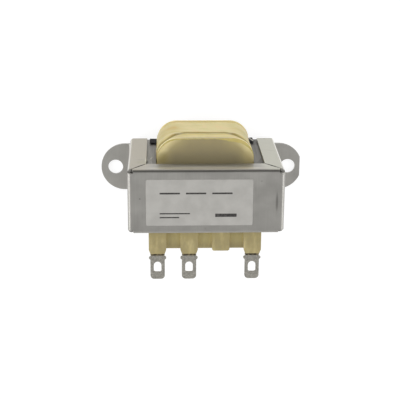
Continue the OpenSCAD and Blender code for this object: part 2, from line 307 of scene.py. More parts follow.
@dataclass(frozen=True)
class SiliconSteelSheet(Finish):
    """Rolled silicon steel with its blue-grey annealing skin: each sheet a little lighter or darker."""

    metallic: float = 1.0
    roughness: float = 0.5
    edge_mm: float = 0.05
    relief_mm: float = 0.004  # rolling lines are a few micrometres deep
    line_mm: Point = (0.4, 30.0)  # as coarse as they need to be to show
    sheet_share: float = 0.22  # how much of the shade is the sheet's own
    dark: str = "#625F5B"
    light: str = "#95938D"

    def paint(self, tree: Tree, place: Socket) -> Painted:
        """Draws rolling lines along the legs, over one shade for each sheet.

        Args:
            tree: the node tree.
            place: object coordinates, in metres.

        Returns:
            The shader's feeds, and the rolling lines as height.
        """
        lines = stretched(tree, place, *self.line_mm, Grain.ALONG_Z)
        sheet = add_node(tree, "NewGeometry").outputs["Random Per Island"]
        feeds = {FACTOR: self.sheet_share, FLOAT_A: lines, FLOAT_B: sheet}
        both = add_node(tree, "Mix", feeds).outputs[0]
        stops = [(0.34, self.dark), (0.66, self.light)]
        rolled = add_node(tree, "ValToRGB", {0: both}, stops).outputs[0]
        return {"Base Color": self.marked(tree, place, rolled)}, lines


@dataclass(frozen=True)
class NaturalNylon(Finish):
    """Unfilled nylon 6/6, injection moulded: translucent cream, darker where the winding shows through.

    outline_mm is the flange's half sizes and corner radius, flow_mm the width and length of the flow lines,
    and body, glow and rim are the shades from its thick middle to its thin rim.
    """

    roughness: float = 0.38
    sockets: tuple[tuple[str, Any], ...] = (
        ("IOR", 1.53),
        ("Subsurface Weight", 0.12),
        ("Subsurface Radius", (1.0, 0.75, 0.4)),
        ("Subsurface Scale", 0.6 * MM),
    )
    outline_mm: Triple = (15.0, 18.0, 6.0)
    rim_mm: float = 6.0
    cloud_mm: float = 3.0
    cloud_depth: float = 0.12
    flow_mm: Point = (2.2, 7.0)
    body: str = "#938868"
    glow: str = "#AEA072"
    rim: str = "#E4D59E"

    def rim_share(self, tree: Tree, folded: Socket) -> Socket:
        """How near a place is to the flange's rounded rim.

        Args:
            tree: the node tree.
            folded: object coordinates without their signs, in metres.

        Returns:
            0 at rim_mm inside the rim, 1 on it.
        """
        half_x, half_y, corner = self.outline_mm
        feeds = {0: folded, 1: ((half_x - corner) * MM, (half_y - corner) * MM, 1.0)}
        past = add_node(tree, "VectorMath", feeds, operation="SUBTRACT").outputs[0]
        parts = add_node(tree, "SeparateXYZ", {0: past}).outputs
        outer = [
            add_node(tree, "Math", {0: parts[i], 1: 0.0}, operation="MAXIMUM").outputs[0]
            for i in (0, 1)
        ]
        flat = add_node(tree, "CombineXYZ", {0: outer[0], 1: outer[1]}).outputs[0]
        reach = add_node(tree, "VectorMath", {0: flat}, operation="LENGTH").outputs["Value"]
        feeds = {0: parts[0], 1: parts[1]}
        nearest = add_node(tree, "Math", feeds, operation="MAXIMUM").outputs[0]
        inner = add_node(tree, "Math", {0: nearest, 1: 0.0}, operation="MINIMUM").outputs[0]
        total = add_node(tree, "Math", {0: reach, 1: inner}, operation="ADD").outputs[0]
        ends = ((corner - self.rim_mm) * MM, corner * MM, 0.0, 1.0)
        return add_node(tree, "MapRange", {"Value": total}, ends=ends).outputs[0]

    def paint(self, tree: Tree, place: Socket) -> Painted:
        """Colours the flange by its distance from the rim and the lug side by its flow lines.

        Args:
            tree: the node tree.
            place: object coordinates, in metres.

        Returns:
            The shader's feeds, and the faint clouds as height.
        """
        folded = add_node(tree, "VectorMath", {0: place}, operation="ABSOLUTE").outputs[0]
        width = add_node(tree, "SeparateXYZ", {0: folded}).outputs["X"]
        spot = add_node(tree, "SeparateXYZ", {0: place}).outputs
        # towards the flange's sides, out past the core, up to the front face, and over to the lug-free side
        sides, outer, face, free = (
            add_node(tree, "MapRange", {"Value": value}, ends=(low * MM, high * MM, least, 1.0)).outputs[0]
            for value, low, high, least in (
                (width, 5, 12.5, 0.25),
                (spot["Y"], 10.6, 14.5, 0.45),
                (spot["Z"], 20, 30, 0.0),
                (spot["Y"], -6, 6, 0.0),
            )
        )
        feeds = {0: sides, 1: outer}
        cornered = add_node(tree, "Math", feeds, operation="MULTIPLY").outputs[0]
        feeds = {FACTOR: face, FLOAT_A: 1.0, FLOAT_B: cornered}
        weight = add_node(tree, "Mix", feeds).outputs[0]
        feeds = {0: self.rim_share(tree, folded), 1: weight}
        share = add_node(tree, "Math", feeds, operation="MULTIPLY").outputs[0]
        flow = stretched(tree, place, *self.flow_mm, Grain.ALONG_Y)
        rows = add_node(tree, "MapRange", {"Value": flow}, ends=(0.2, 0.8, 0.22, 0.66)).outputs[0]
        local = add_node(tree, "Mix", {FACTOR: free, FLOAT_A: rows, FLOAT_B: share}).outputs[0]
        feeds = {"Vector": place, "Scale": 1 / (self.cloud_mm * MM), "Detail": 3.0}
        cloud = add_node(tree, "TexNoise", feeds).outputs[0]
        feeds = {0: cloud, 1: self.cloud_depth, 2: local}
        mottled = add_node(tree, "Math", feeds, operation="MULTIPLY_ADD").outputs[0]
        stops = [(0.06, self.body), (0.51, self.glow), (0.88, self.rim)]
        tint = add_node(tree, "ValToRGB", {0: mottled}, stops).outputs[0]
        return {"Base Color": self.marked(tree, place, tint)}, cloud


@dataclass(frozen=True)
class PolyesterTape(Finish):
    """Polyester film with rubber adhesive, wound by hand: glossy, streaked as it runs, warm where thick."""

    roughness: float = 0.34
    relief_mm: float = 0.04  # wrinkles of the film
    sockets: tuple[tuple[str, Any], ...] = (
        ("IOR", 1.6),
        ("Specular IOR Level", 0.3),
        ("Subsurface Weight", 0.1),
        ("Subsurface Scale", 0.3 * MM),
    )
    streak_mm: Point = (1.1, 22.0)
    cloud_mm: float = 4.0
    cloud_share: float = 0.6  # the streaks have the rest of the shade
    sunk_mm: Point = (0.02, 0.48)  # depth in the groove over which the painted shade takes over
    light: str = "#CFBF7D"
    shade: str = "#C4B671"
    warm: str = "#D5B87B"
    # painted shade in the groove between the tapes
    groove_shade: str = "#90803F"

    def paint(self, tree: Tree, place: Socket) -> Painted:
        """Draws streaks along the run, clouds, and a painted shade in the groove between the two tapes.

        Args:
            tree: the node tree.
            place: object coordinates, in metres.

        Returns:
            The shader's feeds, and the streaks as height.
        """
        run = add_node(tree, "Attribute", attribute_name=RUN).outputs["Vector"]
        streaks = stretched(tree, run, *self.streak_mm, Grain.ALONG_X)
        feeds = {"Vector": run, "Scale": 1 / (self.cloud_mm * MM), "Detail": 3.0}
        clouds = add_node(tree, "TexNoise", feeds).outputs[0]
        feeds = {FACTOR: self.cloud_share, FLOAT_A: streaks, FLOAT_B: clouds}
        both = add_node(tree, "Mix", feeds).outputs[0]
        stops = [(0.32, self.shade), (0.52, self.light), (0.72, self.warm)]
        base = add_node(tree, "ValToRGB", {0: both}, stops).outputs[0]
        depth = add_node(tree, "SeparateXYZ", {0: run}).outputs["Z"]
        low, high = (c * MM for c in self.sunk_mm)
        marked = self.marked(tree, place, base)
        grooved = covered(tree, marked, self.groove_shade, depth, (low, high), (0.0, 1.0))
        return {"Base Color": grooved}, streaks


@dataclass(frozen=True)
class InsulatingBoard(Finish):
    """Black vulcanised fibre, calendered: nearly matt and fibrous, with a painted highlight along its crease.
    """

    roughness: float = 0.55
    sockets: tuple[tuple[str, Any], ...] = (("Specular IOR Level", 0.06),)
    fibre_mm: Point = (0.25, 3.0)  # as coarse as they need to be to show
    crease_highlight_mm: Point = (0.18, 0.42)  # half the painted highlight's width, and where it has faded
    crease_from_mm: Triple = (16.5, 0.0, 1.3)
    crease_across: Triple = (0.943, 0.0, -0.333)
    deep: str = "#060606"
    worn: str = "#141312"
    # painted highlight along the crease
    crease_highlight: str = "#B9B6AE"

    def paint(self, tree: Tree, place: Socket) -> Painted:
        """Draws fibres along the strip, and the cracked skin along the crease.

        Args:
            tree: the node tree.
            place: object coordinates, in metres.

        Returns:
            The shader's feeds, and the fibres as height.
        """
        fibres = stretched(tree, place, *self.fibre_mm, Grain.ALONG_X)
        stops = [(0.35, self.deep), (0.75, self.worn)]
        base = add_node(tree, "ValToRGB", {0: fibres}, stops).outputs[0]
        feeds = {0: place, 1: tuple(c * MM for c in self.crease_from_mm)}
        past = add_node(tree, "VectorMath", feeds, operation="SUBTRACT").outputs[0]
        feeds = {0: past, 1: self.crease_across}
        across = add_node(tree, "VectorMath", feeds, operation="DOT_PRODUCT").outputs["Value"]
        away = add_node(tree, "Math", {0: across}, operation="ABSOLUTE").outputs[0]
        low, high = (c * MM for c in self.crease_highlight_mm)
        creased = covered(tree, base, self.crease_highlight, away, (low, high), (1.0, 0.0))
        return {"Base Color": creased}, fibres


@dataclass(frozen=True)
class GrainedFinish(Finish):
    """Base of the finishes with a single grain, which runs from a dark to a light shade.

    grain_mm is its size, detail and breakup say how fine and how rough it is, and ramp says where the
    shades lie.
    """

    grain_mm: float = 1.0
    detail: float = 3.0
    breakup: float = 0.5
    ramp: Point = (0.35, 0.65)
    dark: str = "#7F7F7F"
    light: str = "#808080"

    def paint(self, tree: Tree, place: Socket) -> Painted:
        """Draws the grain between the two shades.

        Args:
            tree: the node tree.
            place: object coordinates, in metres.

        Returns:
            The shader's feeds, and the grain as height.
        """
        size = {"Scale": 1 / (self.grain_mm * MM), "Detail": self.detail, "Roughness": self.breakup}
        grain = add_node(tree, "TexNoise", {"Vector": place, **size}).outputs[0]
        stops = list(zip(self.ramp, (self.dark, self.light)))
        shade = add_node(tree, "ValToRGB", {0: grain}, stops).outputs[0]
        return {"Base Color": shade}, grain


@dataclass(frozen=True)
class TinnedBrass(GrainedFinish):
    """Brass strip, stamped and hot-tin dipped: a soft grey metal with the grainy skin of frozen tin."""

    metallic: float = 1.0
    roughness: float = 0.48
    edge_mm: float = 0.1
    grain_mm: float = 0.45  # as coarse as it needs to be to show
    breakup: float = 0.7
    ramp: Point = (0.26, 0.70)
    dark: str = "#8A877F"
    light: str = "#C6C3BA"


@dataclass(frozen=True)
class WireEnamel(GrainedFinish):
    """Magnet wire in baked enamel: smooth and glossy, its shade changing one wire's width at a time."""

    roughness: float = 0.3
    edge_mm: float = 0.02
    sockets: tuple[tuple[str, Any], ...] = (("IOR", 1.55),)
    grain_mm: float = 0.45  # the wire's width
    detail: float = 1.0
    ramp: Point = (0.35, 0.70)


@dataclass(frozen=True)
class LabelFilm(GrainedFinish):
    """Matt silver-grey polyester label film: a soft even grey with faint clouds."""

    roughness: float = 0.55
    sockets: tuple[tuple[str, Any], ...] = (("IOR", 1.5),)
    grain_mm: float = 4.0
    dark: str = "#ABA9A4"
    light: str = "#B4B2AD"


@dataclass(frozen=True)
class PrintedInk(GrainedFinish):
    """Thermal-transfer ink on film: dull black, a little thin in places."""

    roughness: float = 0.6
    edge_mm: float = 0.02
    grain_mm: float = 0.5
    detail: float = 2.0
    ramp: Point = (0.45, 0.75)
    dark: str = "#2E2C2B"
    light: str = "#55524F"


# ---- Meshes ----


def rounded_loop(
    half_x: float, half_y: float, corner: float, straight: int = 24, turn: int = 12
) -> list[Point]:
    """Points round a rounded rectangle, anticlockwise from the upper end of its +X side.

    Args:
        half_x: half its width, in millimetres.
        half_y: half its depth.
        corner: corner radius.
        straight: steps along each straight side.
        turn: steps round each corner.

    Returns:
        The points in order, without the first again.
    """
    signs = ((1, 1), (-1, 1), (-1, -1), (1, -1))
    centres = [(x * (half_x - corner), y * (half_y - corner)) for x, y in signs]
    points: list[Point] = []
    for quarter, (x, y) in enumerate(centres):
        for i in range(turn + 1):
            angle = (quarter + i / turn) * math.pi / 2
            points.append((x + corner * math.cos(angle), y + corner * math.sin(angle)))
        begin, ahead = points[-1], centres[(quarter + 1) % len(centres)]
        for i in range(1, straight):
            share = i / straight
            points.append((begin[0] + (ahead[0] - x) * share, begin[1] + (ahead[1] - y) * share))
    return points


def mesh_from(
    name: str, vertices: Sequence[Vector], faces: Sequence[Sequence[int]], run: Sequence[Vector] = ()
) -> Piece:
    """Makes a smooth-shaded object from points in millimetres.

    Args:
        name: the piece's name.
        vertices: the points.
        faces: their indices, face by face.
        run: each point's distance round the coil, height and the depth that sets the groove's painted shade,
            where a finish needs them.

    Returns:
        The new object, linked to the scene.
    """
    mesh = bpy.data.meshes.new(name)
    mesh.from_pydata([v * MM for v in vertices], [], faces)
    work = bmesh.new()
    work.from_mesh(mesh)
    bmesh.ops.recalc_face_normals(work, faces=work.faces)
    work.to_mesh(mesh)
    work.free()
    for polygon in mesh.polygons:
        polygon.use_smooth = True
    mesh.set_sharp_from_angle(angle=SHARP)
    if run:
        layer = mesh.attributes.new(RUN, "FLOAT_VECTOR", "POINT")
        layer.data.foreach_set("vector", [c * MM for v in run for c in v])
    piece = bpy.data.objects.new(name, mesh)
    bpy.context.scene.collection.objects.link(piece)
    return piece


def ring_faces(count: int, size: int, closed: bool) -> list[Face]:
    """Faces between neighbouring copies of a closed cross-section.

    Args:
        count: how many copies there are.
        size: points in one copy.
        closed: whether the last copy joins the first. If not, both ends are capped.

    Returns:
        The faces.
    """
    faces: list[Face] = []
    for i in range(count if closed else count - 1):
        here, there = i * size, (i + 1) % count * size
        faces += [(here + k, there + k, there + (k + 1) % size, here + (k + 1) % size) for k in range(size)]
    if not closed:
        faces += [tuple(range(size)), tuple((count - 1) * size + k for k in range(size))]
    return faces


def smooth(low: float, high: float, value: float) -> float:
    """Rises smoothly from 0 at low to 1 at high."""
    t = min(1.0, max(0.0, (value - low) / (high - low)))
    return t * t * (3 - 2 * t)


def outward(before: Point, after: Point) -> tuple[Vector, float]:
    """Direction out of an anticlockwise outline between two of its points, and their distance."""
    along = Vector(after) - Vector(before)
    return Vector((along.y, -along.x, 0)).normalized(), along.length


# ---- Sub-assemblies ----


@dataclass
class Assembly:
    """Base of a sub-assembly: it knows the frame and the finishes already made."""

    nodes: dict[str, Piece]
    cache: Materials = field(default_factory=dict)

    def dress(self, piece: Piece, finish: Finish) -> None:
        """Gives a piece one finish, made once and shared.

        Args:
            piece: the piece.
            finish: what it gets.
        """
        if finish.name not in self.cache:
            self.cache[finish.name] = finish.build()
        piece.data.materials.clear()
        piece.data.materials.append(self.cache[finish.name])
        LOG.info("%s: %s, %d faces", piece.name, finish.name, len(piece.data.polygons))

    def keep(self, finish: Finish, *prefixes: str) -> None:
        """Leaves CAD nodes in place and dresses them.

        Args:
            finish: what they get.
            prefixes: how their names start.
        """
        for name, node in self.nodes.items():
            if name.startswith(prefixes):
                self.dress(node, finish)

    def place(self, piece: Piece, finish: Finish, slot: str, *replaced: str) -> None:
        """Dresses a new piece, makes it ride on the root body and stand for CAD nodes.

        Args:
            piece: the piece.
            finish: what it gets.
            slot: name of its material slot; not used.
            replaced: the CAD nodes.
        """
        self.dress(piece, finish)
        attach(piece, "root")
        if replaced:
            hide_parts(*replaced)


@dataclass
class CoreAndBracket(Assembly):
    """The stack of sheets and the channel folded round it.

    half_x and half_y are the bracket's outer half sizes, web the height of its top face, fold how deep below
    them a fold's marks lie, skin how deep a mark goes into a lip, and seam_turn the angle of a mitred seam.
    """

    half_x: float = 24.8625
    half_y: float = 10.575
    web: float = 40.7375
    fold: float = 0.3
    skin: float = 0.6
    seam_turn: float = 0.885

    def wear_and_painted_light(self) -> tuple[Mark, ...]:
        """Painted highlights, reflections and shade on the plating, with its real scratches, scuff and speck.

        Returns:
            The marks, each later one over the earlier ones.
        """
        face, skin = self.half_y, self.skin
        fold_x, fold_y = self.half_x - self.fold, self.half_y - self.fold
        marks: list[Mark] = []
        for side, pale, lip_highlight_cover, fold_highlight_cover in ((-1, "#BEB297", 0.36, 0.5), (1, "#D3D3C2", 0.48, 0.8)):
            seam = (0, -side * self.seam_turn, 0)
            marks += [
                Mark((side * 31, 0, 0.5), (13, 22, 3), "#CFCDC7", 0.30, 0.8),  # ear, painted lighter: painted light that the ears catch
                Mark((side * 21.9, face, 19), (7, skin, 30), pale, lip_highlight_cover, 0.6),  # side lip, painted highlight where it reflects the bright floor
                Mark((side * fold_x, fold_y, 20), (0.55, 0.55, 60), "#F4F2EC", fold_highlight_cover),  # painted highlight along the vertical fold
                Mark((side * 21.0, face, 35.9), (3.9, 0.9, 0.5), "#2C2A24", 0.92, 0.4, seam),  # open seam, darkened with painted shade in its gap
            ]
        marks += [
            Mark((0, face, 38.5), (24, 0.5, 2.4), "#D1CCBE", 0.8),  # painted highlight along the top lip
            Mark((0, face, 33.9), (17.5, 0.8, 2.6), "#767052", 0.6),  # painted reflection of the bobbin's flange, low on the top lip
            Mark((0, face - 0.33, self.web - 0.35), (80, 0.62, 0.95), "#403D36", 0.66, 0.30),  # painted dark reflection along the fold into the top lip
            Mark((-24.6, fold_y, 40.3), (0.8, 1.1, 1.1), "#FAF8F2", 0.9, 0.5),  # painted highlight on the corners of the fold
            Mark((24.6, fold_y, 40.3), (0.8, 1.1, 1.1), "#FAF8F2", 0.9, 0.5),
            Mark((-19.15, face, 31.0), (0.3, skin, 5.0), "#D6D6BE", 0.5),  # painted highlight on the left lip's inner edge
            Mark((-18.8, fold_y, 32.0), (0.4, 0.9, 2.6), "#2E2D22", 0.95, 0.6),  # painted shade in the notch of the left seam
            Mark((-20.3, face, 31.8), (2.8, skin, 3.4), "#A09D86", 0.5, 0.2),  # darker beside it
        ]
        scratches = (  # x, z, half length or width along x and z, shade, cover, tilt
            (-20.9, 28.8, 2.4, 0.35, "#5C5B50", 0.52, 0.06),
            (23.0, 18.6, 2.4, 0.26, "#6C6B64", 0.45, -0.45),
            (20.6, 17.7, 2.8, 0.24, "#7A7972", 0.4, -0.12),
            (21.6, 8.9, 2.8, 0.24, "#85847C", 0.38, 0.08),
            (21.4, 3.2, 0.3, 1.5, "#75746D", 0.42, 0.0),
        )
        marks += [
            Mark((x, face, z), (half_x, skin, half_z), shade, cover, 0.1, (0, tilt, 0))
            for x, z, half_x, half_z, shade, cover, tilt in scratches
        ]
        marks += [
            Mark((0, -13.0, self.web), (80, 8.0, 2.0), "#8E8C87", 0.30, 0.2),  # web darker towards its lug-side edge
            Mark((22.4, 0.0, self.web), (0.6, 4.4, 0.5), "#676561", 0.65, 0.2),  # scuff beside the label
            Mark((-20.97, 1.2, self.web), (0.4, 0.4, 0.4), "#6A6864", 0.6, 0.2),  # speck beside the label
        ]
        return tuple(marks)

    def build(self) -> None:
        """Dresses the bracket and every sheet."""
        self.keep(ZincPlatedSteel("zinc_plated_rolled_steel", marks=self.wear_and_painted_light()), "channel_bracket")
        beside_coil = (
            Mark((-17.4, 9.5, 20), (3.5, 1.2, 40), "#A19F98", 0.22, 0.6),  # painted light on the left of the sheets
            Mark((17.4, 9.5, 20), (3.5, 1.2, 40), "#55534F", 0.50, 0.6),  # painted shade on the right of the sheets
            Mark((-18.75, 9.5, 28.2), (0.55, 1.2, 2.6), "#3A3932", 0.75, 0.3),  # painted shade below the notch, beside the lip's edge
            Mark((-17.5, 9.5, 23.6), (0.28, 0.6, 2.3), "#C4C0AC", 0.6, 0.2, (0, -0.258, 0)),  # painted highlight across the sheets
        )
        self.keep(SiliconSteelSheet("annealed_silicon_steel", marks=beside_coil), "e_sheets", "i_sheets")


@dataclass
class Terminals(Assembly):
    """The lugs and the wire ends wrapped on their necks."""

    def build(self) -> None:
        """Dresses lugs and leads."""
        self.keep(TinnedBrass("hot_tinned_brass"), "front_lug", "rear_lug")
        # grain nearly two turns wide, so that it shows
        enamel = WireEnamel("baked_wire_enamel", dark="#14110E", light="#8C7F5E", grain_mm=0.8)
        self.keep(enamel, "front_lead", "rear_lead")


@dataclass
class Coil(Assembly):
    """Bobbin, windings and the tape round both sections.

    The two tapes meet in a groove that climbs at the corners of the lug-free side. Every pair of sizes is a
    range over which something sets in, or the width and height of waves.
    """

    half_x: float = 15.225
    half_y: float = 18.125
    corner: float = 6.3
    front_high: float = 30.60  # upper edge of the front tape
    rear_low: float = 9.09  # lower edge of the rear tape
    window_y: Point = (10.6, 12.4)  # where the tape comes out of the core's windows
    wall: float = 0.4  # thickness of a wrap
    slack: float = 0.10  # outside the windows
    waves: tuple[Point, Point] = ((3.5, 0.07), (6.0, 0.05))
    wave_flatness: float = 4.0  # how many times longer the second waves are round the coil than across it
    lap_step: float = 0.05
    lap_at: float = 0.62  # share of the way round
    edge_pull: float = 0.12  # how far the wound edges are drawn in
    edge_reach: float = 0.6
    groove_middle: float = 24.2
    groove_climb: float = 4.3
    climb_x: Point = (6.0, 13.0)
    climb_y: Point = (9.0, 13.0)
    groove_half: float = 0.02
    groove_depth: float = 0.55
    groove_reach: float = 1.2
    shadow_depth: float = 0.5  # depth that the finish takes for its painted shade, which reaches a little further
    shadow_reach: Point = (0.5, 2.1)
    deepest: float = -0.38  # so that the winding stays covered
    partition_middle: float = 25.25
    rise: float = 0.22  # of the tape over the partition
    rise_reach: Point = (0.4, 1.4)
    rim_cover: float = 0.06  # of the tape over the partition's rim
    rim_half: float = 0.85  # half its width
    rim_slope: float = 2.0  # how steeply the tape may leave it
    bulge: float = 0.42  # of the left side
    bulge_x: Point = (-13.0, -15.0)
    bulge_reach: float = 0.8
    clearance: float = 0.02
    flange_x: float = 15.525
    flange_y: float = 18.425
    flange_corner: float = 6.6
    flange_face: float = 31.65
    flap_left: float = 0.45  # how far the turned edge reaches over the flange's face
    flap_middle: float = 0.22
    flap_right: float = 1.15
    flap_left_x: Point = (-5.0, -10.5)
    flap_right_x: Point = (3.0, 10.0)
    flap_wave: float = 0.20
    flap_waves: Point = (1.7, 0.7)  # widths of its large and small waves
    flap_least: float = 0.05
    flap_ends: float = 0.15  # share of its length over which it narrows to nothing
    flap_run: float = 50.0  # its length, as its finish takes it
    film: float = 0.06
    film_edge: float = 0.4  # share of the film's height at its edges
    film_sunk: float = 0.03
    seed: int = 7

    def wave(self, at: Vector, size: float, height: float) -> float:
        """Smooth seeded unevenness at a point, in waves of a size and height."""
        return height * noise.noise(at / size + Vector((self.seed, 0, 0)))

    def groove(self, x: float, y: float) -> float:
        """Height of the groove between the two tapes at a place of the outline."""
        climb = smooth(*self.climb_x, abs(x)) * smooth(*self.climb_y, y)
        return self.groove_middle + self.groove_climb * climb

    def stand_off(self, at: Triple, edge: float, lapped: bool) -> float:
        """How far the tape stands off its plain outline.

        Args:
            at: a point on the outline, in millimetres.
            edge: its distance from the nearer edge of the band.
            lapped: whether it lies past the step of the last lap.

        Returns:
            The distance outwards, in millimetres.
        """
        x, y, z = at
        free = smooth(*self.window_y, abs(y))  # inside the windows the tape lies flat
        from_partition = abs(z - self.partition_middle)
        round_waves, long_waves = self.waves
        lift = self.wave(Vector(at), *round_waves)
        lift += self.wave(Vector((x, y, z * self.wave_flatness)), *long_waves)
        over = self.rise * (1 - smooth(*self.rise_reach, from_partition))
        groove = self.groove_depth * (1 - smooth(0.0, self.groove_reach, abs(z - self.groove(x, y))))
        pulled = self.edge_pull * (1 - smooth(0.0, self.edge_reach, edge))
        offset = free * (self.slack + lift + over) - max(pulled, groove)
        offset -= self.lap_step if lapped else 0.0
        covering = self.rim_cover * free - self.rim_slope * max(0.0, from_partition - self.rim_half)
        offset = max(offset, covering, self.deepest)  # never below the partition's rim or the winding
        offset = min(offset, self.flange_y - self.half_y - self.clearance)
        return offset + self.bulge * smooth(*self.bulge_x, x) * smooth(0.0, self.bulge_reach, edge)

    def band(self, name: str, front: bool, rows: int) -> Piece:
        """A wrapped band of tape: a little uneven, pulled in at its edges, with the step of its last lap.

        Args:
            name: the piece's name.
            front: whether it is the band next to the label side.
            rows: rows of faces across it.

        Returns:
            The band, closed inside and out.
        """
        outline = rounded_loop(self.half_x, self.half_y, self.corner)
        lap = round(len(outline) * self.lap_at)
        profile = [(k / rows, 0.0) for k in range(rows + 1)]
        profile += [(share, self.wall) for share, _ in reversed(profile)]
        vertices: list[Vector] = []
        run: list[Vector] = []
        travelled = 0.0
        for i, (x, y) in enumerate(outline):
            out, span = outward(outline[i - 1], outline[(i + 1) % len(outline)])
            middle = self.groove(x, y)
            low = middle + self.groove_half if front else self.rear_low
            high = self.front_high if front else middle - self.groove_half
            for share, inwards in profile:
                z = low + (high - low) * share
                offset = self.stand_off((x, y, z), min(z - low, high - z), i > lap)
                depth = self.shadow_depth * (1 - smooth(*self.shadow_reach, abs(z - middle)))
                vertices.append(Vector((x, y, z)) + out * (offset - inwards))
                run.append(Vector((travelled, z, depth)))
            travelled += span / 2
        return mesh_from(name, vertices, ring_faces(len(outline), len(profile), True), run)

    def turned_edge(self, name: str) -> Piece:
        """The edge of the front tape, turned over the flange's rim and stuck to its face in waves.

        Args:
            name: the piece's name.

        Returns:
            The narrow film, closed all round.
        """
        turn, straight, steps = 24, 72, 6
        outline = rounded_loop(self.flange_x, self.flange_y, self.flange_corner, straight, turn)
        arc = outline[: 2 * (turn + 1) + straight - 1]  # two corners and the lug-free side between them
        arch = [
            self.film * (self.film_edge + (1 - self.film_edge) * math.sin(math.pi * (k + 1) / (steps + 2)))
            for k in range(steps + 1)
        ]
        vertices: list[Vector] = []
        run: list[Vector] = []
        for i, (x, y) in enumerate(arc):
            share = i / (len(arc) - 1)
            out, _ = outward(arc[max(i - 1, 0)], arc[min(i + 1, len(arc) - 1)])
            ends = smooth(0.0, self.flap_ends, share) * smooth(0.0, self.flap_ends, 1 - share)
            reach = self.flap_middle + (self.flap_right - self.flap_middle) * smooth(*self.flap_right_x, x)
            reach += (self.flap_left - self.flap_middle) * smooth(*self.flap_left_x, x)
            for size, height in zip(self.flap_waves, (self.flap_wave, self.flap_wave / 2)):
                reach += self.wave(Vector((x, y, 0)), size, height)
            near, width = self.clearance, self.flap_least + ends * max(self.flap_least, reach)
            section = [(near + width * k / steps, height) for k, height in enumerate(arch)]
            section += [(near + width, -self.film_sunk), (near, -self.film_sunk)]
            for inward, height in section:
                vertices.append(Vector((x, y, self.flange_face + height)) - out * inward)
                run.append(Vector((share * self.flap_run, inward, 0.0)))
        return mesh_from(name, vertices, ring_faces(len(arc), len(section), False), run)

    def build(self) -> None:
        """Makes the tapes and dresses the bobbin and the windings."""
        adhesive = (
            Mark((-10.6, 18.2, 16.9), (3.4, 2.5, 3.4), "#C9A548", 0.9, 0.1),  # thick drop
            Mark((-14.4, 15.2, 19.0), (4.2, 5.0, 11.0), "#B3A24A", 0.75, 0.25),  # both corners
            Mark((14.2, 15.4, 20.0), (4.0, 4.6, 9.0), "#AC9A4C", 0.75, 0.25),
            Mark((-9.5, 18.3, 21.8), (5.0, 2.5, 1.2), "#C7B45A", 0.6, 0.1),  # streak above the drop
            Mark((-12.0, 17.3, 18.0), (7.0, 4.5, 10.0), "#B29C3C", 0.45, 0.3),  # haze towards the middle
            Mark((12.5, 17.3, 18.5), (6.0, 4.5, 10.0), "#B3A040", 0.42, 0.3),
        )
        face = self.flange_face
        moulded = (
            Mark((-13.8, 12.0, face), (2.8, 2.6, 1.5), "#8B7B35", 0.35, 0.2),  # flange's left corner
            Mark((13.6, 12.6, face), (2.4, 2.8, 1.5), "#C4B47C", 0.35, 0.2),  # its right corner
            Mark((0, -14.2, 32), (40, 2.0, 6), "#CBBB78", 0.20, 0.2),  # thin roots of the bosses
            Mark((0, -15.4, face), (40, 3.2, 0.9), "#D2C487", 0.55, 0.2),  # their front edge
        )
        cream = PolyesterTape("polyester_tape_cream", light="#CDBC76", shade="#BBAB63", warm="#D1BC7C")
        yellow = PolyesterTape("polyester_tape_yellow", marks=adhesive)
        self.place(self.band("front_tape_wrap", True, 16), cream, "front_tape", "front_tape")
        self.place(self.turned_edge("front_tape_turned_edge"), cream, "front_tape")
        self.place(self.band("rear_tape_wrap", False, 36), yellow, "rear_tape", "rear_tape")
        outline = (self.flange_x, self.flange_y, self.flange_corner)
        self.keep(NaturalNylon("moulded_natural_nylon", outline_mm=outline, marks=moulded), "bobbin")
        copper = WireEnamel("copper_wire_enamel", dark="#7A4226", light="#A5623A")
        self.keep(copper, "front_winding", "rear_winding")


@dataclass
class InsulatingStrip(Assembly):
    """The black board on the lower yoke, dropped at its right end and creased there."""

    left: float = -18.10
    right: float = 17.60
    low: float = 1.30
    high: float = 6.70
    drop: float = 0.95
    drop_x: Point = (13.0, 16.5)
    back: float = 10.03  # its face on the core
    front: float = 10.31  # as far out as it may reach
    board: float = 0.25
    bow: float = 0.04
    bow_rate: float = 0.5  # radians for each millimetre along the strip
    crease_from: float = 16.5
    crease_slope: float = 0.353
    crease_depth: float = 0.14
    crease_half: float = 0.6
    columns: int = 96
    rows: int = 14

    def build(self) -> None:
        """Makes the strip in place of its plain CAD solid."""
        vertices: list[Vector] = []
        for thickness in (self.board, 0.0):
            for i in range(self.columns + 1):
                x = self.left + (self.right - self.left) * i / self.columns
                low = self.low - self.drop * smooth(*self.drop_x, x)
                for k in range(self.rows + 1):
                    z = low + (self.high - self.low) * k / self.rows
                    bow = self.bow * math.sin(x * self.bow_rate) - self.bow
                    fold = x - self.crease_from - (z - self.low) * self.crease_slope
                    crease = self.crease_depth * max(0.0, 1 - abs(fold) / self.crease_half)
                    y = self.back + bow - crease + thickness
                    vertices.append(Vector((x, min(y, self.front), z)))
        row = self.rows + 1
        sheet = (self.columns + 1) * row
        corners_at = [i * row + k for i in range(self.columns) for k in range(self.rows)]
        faces: list[Face] = [
            (start + n, start + n + row, start + n + row + 1, start + n + 1)
            for start in (0, sheet) for n in corners_at
        ]
        rim = [i * row for i in range(self.columns)] + [self.columns * row + k for k in range(self.rows)]
        rim += [i * row + self.rows for i in range(self.columns, 0, -1)] + list(range(self.rows, 0, -1))
        faces += [(here, there, there + sheet, here + sheet) for here, there in zip(rim, rim[1:] + rim[:1])]
        strip = mesh_from("insulating_strip_board", vertices, faces)
        self.place(strip, InsulatingBoard("black_vulcanised_fibre"), "strip_fibre", "insulating_strip")


